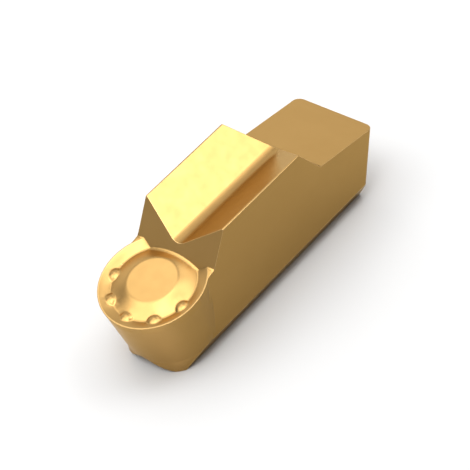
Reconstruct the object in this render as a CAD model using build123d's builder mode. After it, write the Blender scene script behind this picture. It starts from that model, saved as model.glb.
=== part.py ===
from build123d import *
import math
import os

# Full-radius grooving and profiling insert, sintered in one piece, in millimetres.
# X runs across the insert and the cutting nose points to -Y. The seat lies on Z = 0,
# X = 0 is the plane of symmetry, and Y = 0 is midway between the tip and the tail end.

# Body
overall_length = 24.72
body_width = 7.0
body_height = 9.21
clamp_length = 8.45
clamp_setback = 0.25
front_wall_angle = 33.7
rear_wall_angle = 36.0
wall_fillet = 0.3

# V-grooves for the clamp above, between two narrow crests, and the seat below
clamp_groove_angle = 118.0
clamp_groove_fillet = 1.1
clamp_crest_width = 0.12
seat_groove_angle = 120.0
seat_groove_depth = 1.26
seat_groove_fillet = 0.3
seat_bevel_height = 1.35
seat_bevel_angle = 30.0

# Tail block, lower than the clamping part
tail_end_drop = 3.67
tail_top_slope = 9.7
tail_end_lean = 18.5
tail_corner_radius = 0.6

# Round cutting nose, on a rake plane that tips towards the tip
nose_radius = 4.0
nose_centre_drop = 2.93
nose_tilt = 10.16
nose_relief = 5.5
foot_setback = 0.87

# Chip former, measured from the rake plane along the nose axis
edge_land = 0.09
rake_angle = 24.5
rake_width = 0.77
valley_fillet = 0.3
boss_wall_width = 1.25
boss_height = 0.19
boss_edge_fillet = 0.8
former_clearance = 1.0
root_cover = 0.25

# Chip-breaking bumps round the front of the valley
bump_count = 5
bump_spacing = 39.0
bump_offset = 0.02
bump_ball_radius = 0.75
bump_depth = 0.08
bump_root_fillet = 0.16

# Sizes worked out from the ones above
half_width = body_width / 2
tilt = math.radians(nose_tilt)
rake_edge_radius = nose_radius - edge_land
valley_radius = rake_edge_radius - rake_width
valley_depth = rake_width * math.tan(math.radians(rake_angle))
boss_radius = valley_radius - boss_wall_width
root_depth = valley_depth + root_cover
clamp_groove_half = half_width - clamp_crest_width
clamp_groove_depth = clamp_groove_half / math.tan(math.radians(clamp_groove_angle / 2))
seat_groove_half = seat_groove_depth * math.tan(math.radians(seat_groove_angle / 2))
seat_bevel_run = seat_bevel_height * math.tan(math.radians(seat_bevel_angle))
nose_centre_height = body_height - nose_centre_drop
nose_centre_y = nose_radius * math.cos(tilt) - overall_length / 2
foot_centre_y = nose_centre_y + foot_setback
foot_front_y = foot_centre_y - half_width


def rake_height(y):
    return nose_centre_height + (y - nose_centre_y) * math.tan(tilt)


# Where the front wall of the clamping part runs down to the rake plane
wall_run = math.tan(math.radians(front_wall_angle))
clamp_front_y = nose_centre_y + nose_radius + clamp_setback
wall_drop = (body_height - rake_height(clamp_front_y)) / (1 - wall_run * math.tan(tilt))
wall_base_y = clamp_front_y - wall_drop * wall_run
wall_middle = (0, (clamp_front_y + wall_base_y) / 2, body_height - wall_drop / 2)

# Where the rear wall runs down to the top of the tail
tail_fall = math.tan(math.radians(tail_top_slope))
rear_run = math.tan(math.radians(rear_wall_angle))
clamp_rear_y = clamp_front_y + clamp_length
tail_end_y = overall_length / 2
tail_end_height = body_height - tail_end_drop
clamp_above_tail = tail_end_drop - (tail_end_y - clamp_rear_y) * tail_fall
rear_drop = clamp_above_tail / (1 - rear_run * tail_fall)
rear_base_y = clamp_rear_y + rear_drop * rear_run
tail_rise = body_height - rear_drop
tail_seat_y = tail_end_y - tail_end_height * math.tan(math.radians(tail_end_lean))

nose_plane = Plane(
    origin=(0, nose_centre_y, nose_centre_height),
    x_dir=(1, 0, 0),
    z_dir=(0, -math.sin(tilt), math.cos(tilt)),
)
nose_section = Plane(origin=nose_plane.origin, x_dir=(1, 0, 0), z_dir=-nose_plane.y_dir)

with BuildPart() as insert:
    # Foot under the nose, running back as the core of the whole body
    with BuildSketch(Plane.YZ):
        with BuildLine():
            Polyline(
                (foot_front_y, 0),
                (tail_seat_y, 0),
                (tail_end_y, tail_end_height),
                (rear_base_y, tail_rise),
                (wall_base_y, rake_height(wall_base_y)),
                (foot_front_y, rake_height(foot_front_y)),
                close=True,
            )
        make_face()
    extrude(amount=half_width, both=True)

    # Rounded front of the foot
    with BuildSketch(Plane.XY):
        with Locations((0, foot_centre_y)):
            Circle(half_width)
        with Locations((0, foot_centre_y)):
            Rectangle(body_width, tail_end_y - foot_centre_y, align=(Align.CENTER, Align.MIN))
    extrude(amount=body_height, mode=Mode.INTERSECT)

    # Rounded rear corners of the tail
    tail_end = insert.faces().sort_by(Axis.Y)[-1]
    tail_corners = tail_end.edges().group_by(Axis.X)
    fillet(tail_corners[0] + tail_corners[-1], tail_corner_radius)

    # Round nose with its relief, square to the tipped rake plane
    head_depth = nose_centre_height / math.cos(tilt) + nose_radius * math.tan(tilt)
    with BuildSketch(nose_section):
        with BuildLine():
            Polyline(
                (0, 0),
                (nose_radius, 0),
                (nose_radius - head_depth * math.tan(math.radians(nose_relief)), -head_depth),
                (0, -head_depth),
                close=True,
            )
        make_face()
    revolve(axis=Axis(nose_plane.origin, nose_plane.z_dir))
    split(bisect_by=Plane.XY, keep=Keep.TOP)

    # Raised boss, with the ring valley of the chip former cut round it
    with BuildSketch(nose_plane):
        Circle(valley_radius)
    extrude(amount=boss_height)
    with BuildSketch(nose_section):
        with BuildLine():
            Polyline(
                (0, boss_height),
                (boss_radius, boss_height),
                (valley_radius, -valley_depth),
                (rake_edge_radius, 0),
                (rake_edge_radius, former_clearance),
                (0, former_clearance),
                close=True,
            )
        make_face()
        fillet(vertices().sort_by_distance((boss_radius, boss_height))[0], boss_edge_fillet)
        fillet(vertices().sort_by_distance((valley_radius, -valley_depth))[0], valley_fillet)
    revolve(axis=Axis(nose_plane.origin, nose_plane.z_dir), mode=Mode.SUBTRACT)

    # Bumps that stand in the valley, centred on the tip
    with Locations(nose_plane.offset(-bump_depth - bump_ball_radius)):
        with PolarLocations(
            valley_radius + bump_offset,
            bump_count,
            start_angle=-90 - bump_spacing * (bump_count - 1) / 2,
            angular_range=bump_spacing * (bump_count - 1),
            endpoint=True,
        ):
            Sphere(bump_ball_radius)
    bump_faces = insert.faces().filter_by(GeomType.SPHERE)
    fillet(bump_faces.edges().filter_by(GeomType.BSPLINE), bump_root_fillet)

    # Clamping part, rooted below the valley
    with BuildSketch(Plane.YZ):
        with BuildLine():
            Polyline(
                (wall_base_y - root_depth * wall_run, rake_height(wall_base_y) - root_depth),
                (clamp_front_y, body_height),
                (clamp_rear_y, body_height),
                (rear_base_y, tail_rise),
                (rear_base_y, tail_rise - root_depth),
                close=True,
            )
        make_face()
    extrude(amount=half_width, both=True)

    # Concave fillets where the clamping part meets the nose and the tail
    front_wall = insert.faces().sort_by_distance(wall_middle)[0]
    wall_foot = front_wall.edges().filter_by_position(Axis.X, -half_width, half_width, (False, False))
    fillet(wall_foot.filter_by_position(Axis.Z, 0, wall_middle[2]), wall_fillet)
    tail_root = insert.edges().filter_by(Axis.X).sort_by_distance((0, rear_base_y, tail_rise))[0]
    fillet(tail_root, wall_fillet)

    # V-groove along the clamping part
    with BuildSketch(Plane.XZ):
        with BuildLine():
            Polyline(
                (0, body_height - clamp_groove_depth),
                (clamp_groove_half, body_height),
                (clamp_groove_half, body_height + former_clearance),
                (-clamp_groove_half, body_height + former_clearance),
                (-clamp_groove_half, body_height),
                close=True,
            )
        make_face()
        fillet(vertices().sort_by(Axis.Y)[0], clamp_groove_fillet)
    extrude(amount=body_height + tail_end_y, both=True, mode=Mode.SUBTRACT)

    # Seat groove and the bevels beside the seat
    with BuildSketch(Plane.XZ):
        with BuildLine():
            Polyline(
                (-seat_groove_half, 0),
                (0, seat_groove_depth),
                (seat_groove_half, 0),
                close=True,
            )
        make_face()
        fillet(vertices().sort_by(Axis.Y)[-1], seat_groove_fillet)
        with BuildLine():
            Polyline(
                (half_width, seat_bevel_height),
                (half_width - seat_bevel_run, 0),
                (half_width + seat_bevel_height, 0),
                (half_width + seat_bevel_height, seat_bevel_height),
                close=True,
            )
        make_face()
        mirror(about=Plane.YZ)
    extrude(amount=body_height + tail_end_y, both=True, mode=Mode.SUBTRACT)

insert.part.label = "insert"
os.makedirs("parts", exist_ok=True)
export_step(insert.part, "parts/insert.step")
print("length", round(insert.part.bounding_box().size.Y, 2), "volume", round(insert.part.volume, 1))
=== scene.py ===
import bpy
import bmesh
import math
from mathutils import Matrix, Vector


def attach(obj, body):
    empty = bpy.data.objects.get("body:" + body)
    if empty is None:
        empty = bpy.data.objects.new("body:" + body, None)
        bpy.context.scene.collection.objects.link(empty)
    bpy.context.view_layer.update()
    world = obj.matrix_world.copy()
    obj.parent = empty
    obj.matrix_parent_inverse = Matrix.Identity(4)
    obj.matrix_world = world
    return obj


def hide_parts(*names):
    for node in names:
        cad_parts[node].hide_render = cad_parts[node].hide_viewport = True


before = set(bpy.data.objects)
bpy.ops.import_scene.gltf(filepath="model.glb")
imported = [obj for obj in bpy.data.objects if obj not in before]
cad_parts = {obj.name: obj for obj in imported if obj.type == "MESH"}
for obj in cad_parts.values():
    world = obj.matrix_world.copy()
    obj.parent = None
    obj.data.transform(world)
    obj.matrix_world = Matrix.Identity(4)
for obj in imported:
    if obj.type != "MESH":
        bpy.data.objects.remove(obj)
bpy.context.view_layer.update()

scene = bpy.context.scene
scene.view_settings.view_transform = "Standard"


def linkObject(name, data):
    obj = bpy.data.objects.new(name, data)
    scene.collection.objects.link(obj)
    return obj


def newMaterial(name):
    material = bpy.data.materials.new(name)
    material.use_nodes = True
    return material, material.node_tree.nodes["Principled BSDF"]


def directionTo(azimuth, elevation):
    # Azimuth turns from +X towards +Y and elevation rises from the floor, in degrees
    around = math.radians(azimuth)
    above = math.radians(elevation)
    level = Vector((math.cos(around), math.sin(around), 0))
    return level * math.cos(above) + Vector((0, 0, math.sin(above)))


print("scene: camera")

cameraPlace = {
    "location": (0.085757, -0.078148, 0.111629),
    "azimuth": -42.33,
    "elevation": 42.99,
    "roll": -12.8,
    "lens": 170.905,
    "sensorWidth": 36.0,
    "clipStart": 0.005,
    "clipEnd": 10.0,
}


def placeCamera():
    camera = linkObject("camera", bpy.data.cameras.new("camera"))
    camera.data.lens = cameraPlace["lens"]
    camera.data.sensor_width = cameraPlace["sensorWidth"]
    camera.data.clip_start = cameraPlace["clipStart"]
    camera.data.clip_end = cameraPlace["clipEnd"]
    ahead = -directionTo(cameraPlace["azimuth"], cameraPlace["elevation"])
    upright = ahead.to_track_quat("-Z", "Y").to_matrix().to_4x4()
    roll = Matrix.Rotation(math.radians(cameraPlace["roll"]), 4, "Z")
    camera.matrix_world = Matrix.Translation(cameraPlace["location"]) @ upright @ roll
    scene.camera = camera


placeCamera()

print("scene: coating material")

# Sizes and heights are in metres
coating = {
    "darkTone": (0.445, 0.265, 0.088, 1.0),
    "lightTone": (0.475, 0.287, 0.1, 1.0),
    # painted shade: faces that point sideways are multiplied by this, darkening them as the
    # light falling on them would
    "paintedFlankShade": (0.76, 0.75, 0.66, 1.0),
    # painted highlight: the rounded edges get this paler gold, as if they caught the light
    "edgeHighlightTone": (0.62, 0.4, 0.16, 1.0),
    "grazingTint": (1.0, 0.9, 0.7, 1.0),
    "cloudSize": 2.2e-3,
    "cloudDetail": 2.0,
    "patchSize": 0.7e-3,
    "patchDetail": 1.0,
    "patchHeight": 0.3e-6,
    "patchRange": (0.3, 0.7),
    "roughness": (0.28, 0.32),
    "grainSize": 0.22e-3,
    "grainDetail": 0.0,
    "grainHeight": 0.25e-6,
}


def addNoise(tree, place, size, detail):
    noise = tree.nodes.new("ShaderNodeTexNoise")
    noise.inputs["Scale"].default_value = 1.0 / size
    noise.inputs["Detail"].default_value = detail
    tree.links.new(place.outputs["Object"], noise.inputs["Vector"])
    return noise.outputs["Fac"]


def addAttribute(tree, name):
    attribute = tree.nodes.new("ShaderNodeAttribute")
    attribute.attribute_name = name
    return attribute.outputs["Fac"]


def addTone(tree, fac, first, second, blend="MIX"):
    tone = tree.nodes.new("ShaderNodeMix")
    tone.data_type = "RGBA"
    tone.blend_type = blend
    tree.links.new(fac, tone.inputs["Factor"])
    for socket, colour in ((tone.inputs["A"], first), (tone.inputs["B"], second)):
        if isinstance(colour, tuple):
            socket.default_value = colour
        else:
            tree.links.new(colour, socket)
    return tone.outputs["Result"]


def addRoughness(tree, height):
    sheen = tree.nodes.new("ShaderNodeMapRange")
    sheen.inputs["From Min"].default_value = coating["patchRange"][0]
    sheen.inputs["From Max"].default_value = coating["patchRange"][1]
    sheen.inputs["To Min"].default_value = coating["roughness"][0]
    sheen.inputs["To Max"].default_value = coating["roughness"][1]
    tree.links.new(height, sheen.inputs["Value"])
    return sheen.outputs["Result"]


def addBump(tree, height, distance, below=None):
    bump = tree.nodes.new("ShaderNodeBump")
    bump.inputs["Strength"].default_value = 1.0
    bump.inputs["Distance"].default_value = distance
    tree.links.new(height, bump.inputs["Height"])
    if below:
        tree.links.new(below, bump.inputs["Normal"])
    return bump.outputs["Normal"]


def makeCoating():
    material, shader = newMaterial("satinGoldCoating")
    tree = material.node_tree
    place = tree.nodes.new("ShaderNodeTexCoord")
    cloud = addNoise(tree, place, coating["cloudSize"], coating["cloudDetail"])
    patch = addNoise(tree, place, coating["patchSize"], coating["patchDetail"])
    grain = addNoise(tree, place, coating["grainSize"], coating["grainDetail"])
    paintedShadeMask = addAttribute(tree, "paintedShadeMask")  # painted shade mask: one on faces that point sideways, zero on the others
    edge = addAttribute(tree, "paintedEdgeHighlight")  # painted highlight mask: one on the rounded edges, zero elsewhere
    body = addTone(tree, cloud, coating["darkTone"], coating["lightTone"])
    # painted shade: the sideways faces are darkened by multiplying
    shaded = addTone(tree, paintedShadeMask, body, coating["paintedFlankShade"], "MULTIPLY")
    # painted highlight: paler gold on the rounded edges
    tone = addTone(tree, edge, shaded, coating["edgeHighlightTone"])
    pressed = addBump(tree, patch, coating["patchHeight"])
    grained = addBump(tree, grain, coating["grainHeight"], pressed)
    tree.links.new(tone, shader.inputs["Base Color"])
    tree.links.new(addRoughness(tree, patch), shader.inputs["Roughness"])
    tree.links.new(grained, shader.inputs["Normal"])
    shader.inputs["Metallic"].default_value = 1.0
    shader.inputs["Specular Tint"].default_value = coating["grazingTint"]
    return material


coatingMaterial = makeCoating()

print("scene: insert")

# Lengths are in metres and angles in degrees
skin = {
    "node": "insert",
    "mergeDistance": 1.0e-6,
    "flatAngle": 0.4,  # neighbours that differ by less become one flat face
    "edgeAngle": 22.0,  # outer edges sharper than this are rounded
    "edgeRadius": 0.03e-3,
    "edgeSegments": 2,
    "creaseAngle": 30.0,  # inner edges sharper than this stay sharp
    "footCreaseAngle": 4.0,
    "footTop": 5.0e-3,
    "grooveHalf": 0.35e-3,  # half the width of the seat groove's rounded bottom
    "paintedShadeStart": 0.7,  # sideways share of the normal where the painted flank shade starts
    "paintedShadeFull": 0.97,  # and where it is full
    "smoothCosine": 0.94,  # cosine of the largest turn within one smooth surface
    "normalWeight": 80,
}


def isOuterEdge(edge):
    return edge.is_convex and edge.calc_face_angle() > math.radians(skin["edgeAngle"])


def isCrease(edge):
    # The foot meets the nose at a shallow angle, so a smaller angle counts there
    if edge.is_convex:
        return False
    middle = (edge.verts[0].co + edge.verts[1].co) / 2
    onFoot = middle.z < skin["footTop"] and abs(middle.x) > skin["grooveHalf"]
    limit = skin["footCreaseAngle"] if onFoot else skin["creaseAngle"]
    return edge.calc_face_angle() > math.radians(limit)


def paintedShadeShare(corner):
    # How far the smooth surface at a corner of a face points sideways, from 0 to 1, which sets
    # how much painted shade the corner gets
    own = corner.face.normal
    normals = [face.normal for face in corner.vert.link_faces]
    near = [normal for normal in normals if normal.dot(own) > skin["smoothCosine"]]
    sideways = abs(sum(near, Vector()).normalized().x)
    share = (sideways - skin["paintedShadeStart"]) / (skin["paintedShadeFull"] - skin["paintedShadeStart"])
    return min(max(share, 0.0), 1.0)


def mergeFacets(bm):
    bmesh.ops.remove_doubles(bm, verts=bm.verts, dist=skin["mergeDistance"])
    flat = math.radians(skin["flatAngle"])
    bmesh.ops.dissolve_limit(bm, angle_limit=flat, verts=bm.verts, edges=bm.edges)


def roundEdges(bm):
    shine = bm.faces.layers.float.new("paintedEdgeHighlight")
    rounded = bmesh.ops.bevel(
        bm,
        geom=[edge for edge in bm.edges if isOuterEdge(edge)],
        offset=skin["edgeRadius"],
        offset_type="OFFSET",
        segments=skin["edgeSegments"],
        profile=0.5,
        affect="EDGES",
        material=-1,
        clamp_overlap=False,
    )
    # the rounded faces carry the painted edge highlight
    for face in rounded["faces"]:
        face[shine] = 1.0
    bmesh.ops.dissolve_degenerate(bm, dist=skin["mergeDistance"], edges=bm.edges)


def markSurfaces(bm):
    # painted shade mask, stored per face corner
    paintedShadeMask = bm.loops.layers.float.new("paintedShadeMask")
    for edge in bm.edges:
        edge.smooth = not isCrease(edge)
    for face in bm.faces:
        face.smooth = True
        for corner in face.loops:
            corner[paintedShadeMask] = paintedShadeShare(corner)


def makeSkin():
    bm = bmesh.new()
    bm.from_mesh(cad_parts[skin["node"]].data)
    mergeFacets(bm)
    roundEdges(bm)
    markSurfaces(bm)
    mesh = bpy.data.meshes.new("insertSkin")
    bm.to_mesh(mesh)
    bm.free()
    mesh.materials.append(coatingMaterial)
    obj = linkObject("insertSkin", mesh)
    even = obj.modifiers.new("evenShading", "WEIGHTED_NORMAL")
    even.keep_sharp = True
    even.weight = skin["normalWeight"]
    triangles = obj.modifiers.new("triangles", "TRIANGULATE")  # the normals need whole faces
    triangles.quad_method = "BEAUTY"
    triangles.keep_custom_normals = True
    return obj


insertSkin = makeSkin()
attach(insertSkin, "root")
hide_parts(skin["node"])

print("scene: floor")

floor = {
    "radius": 1.5,
    "sides": 96,
    "color": (0.64, 0.64, 0.64, 1.0),
    "roughness": 0.9,
}


def makeFloor():
    bm = bmesh.new()
    bmesh.ops.create_circle(bm, cap_ends=True, segments=floor["sides"], radius=floor["radius"])
    mesh = bpy.data.meshes.new("floor")
    bm.to_mesh(mesh)
    bm.free()
    material, shader = newMaterial("paleFloor")
    shader.inputs["Base Color"].default_value = floor["color"]
    shader.inputs["Roughness"].default_value = floor["roughness"]
    mesh.materials.append(material)
    obj = linkObject("floor", mesh)


makeFloor()

print("scene: lights")

# Each lamp is a round soft box that fades to nothing at its rim, aimed at the insert.
# Its spread is the half angle in degrees that it fills, seen from there.
lamps = {
    "overhead": {"azimuth": -66, "elevation": 67, "spread": 22, "radiance": 6.9},
    "crown": {"azimuth": 86, "elevation": 86, "spread": 25, "radiance": 4.9},
    "rearRight": {"azimuth": 58, "elevation": 57, "spread": 21, "radiance": 6.5},
    "rear": {"azimuth": 102, "elevation": 47, "spread": 21, "radiance": 2.9},
    "canopy": {"azimuth": 156, "elevation": 56, "spread": 21, "radiance": 3.1},
    "front": {"azimuth": -137, "elevation": 55, "spread": 33, "radiance": 3.7},
    "frontRight": {"azimuth": -107, "elevation": 45, "spread": 21, "radiance": 2.3},
    "leftLow": {"azimuth": 165, "elevation": 15, "spread": 38, "radiance": 1.2},
    "rearLow": {"azimuth": 127, "elevation": 25, "spread": 22, "radiance": 1.2},
    "frontLow": {"azimuth": -125, "elevation": 7, "spread": 21, "radiance": 0.6},
}
studio = {
    "lampDistance": 0.45,
    "worldColor": (1.0, 1.0, 1.0, 1.0),
    "worldStrength": 0.2,
}


def fadeToRim(light):
    # A lamp's Parametric coordinates run from 0 to 1, so its centre is at a half
    light.use_nodes = True
    tree = light.node_tree
    place = tree.nodes.new("ShaderNodeNewGeometry")
    fromCentre = tree.nodes.new("ShaderNodeVectorMath")
    fromCentre.operation = "DISTANCE"
    fromCentre.inputs[1].default_value = (0.5, 0.5, 0.0)
    fade = tree.nodes.new("ShaderNodeMapRange")
    fade.interpolation_type = "SMOOTHSTEP"
    fade.inputs["From Min"].default_value = 0.5
    fade.inputs["From Max"].default_value = 0.0
    tree.links.new(place.outputs["Parametric"], fromCentre.inputs[0])
    tree.links.new(fromCentre.outputs["Value"], fade.inputs["Value"])
    tree.links.new(fade.outputs["Result"], tree.nodes["Emission"].inputs["Strength"])


def addLamp(name, lamp):
    toward = directionTo(lamp["azimuth"], lamp["elevation"])
    side = Vector((0, 1, 0)).cross(toward).normalized()
    facing = Matrix((side, toward.cross(side), toward)).transposed().to_4x4()
    light = bpy.data.lights.new(name, "AREA")
    light.shape = "DISK"
    light.size = 2 * studio["lampDistance"] * math.tan(math.radians(lamp["spread"]))
    area = math.pi / 4 * light.size ** 2
    light.energy = lamp["radiance"] * math.pi * area
    fadeToRim(light)
    obj = linkObject(name, light)
    obj.matrix_world = Matrix.Translation(toward * studio["lampDistance"]) @ facing


def makeWorld():
    world = bpy.data.worlds.new("studio")
    world.use_nodes = True
    background = world.node_tree.nodes["Background"]
    background.inputs["Color"].default_value = studio["worldColor"]
    background.inputs["Strength"].default_value = studio["worldStrength"]
    scene.world = world


for name, lamp in lamps.items():
    addLamp(name, lamp)
makeWorld()
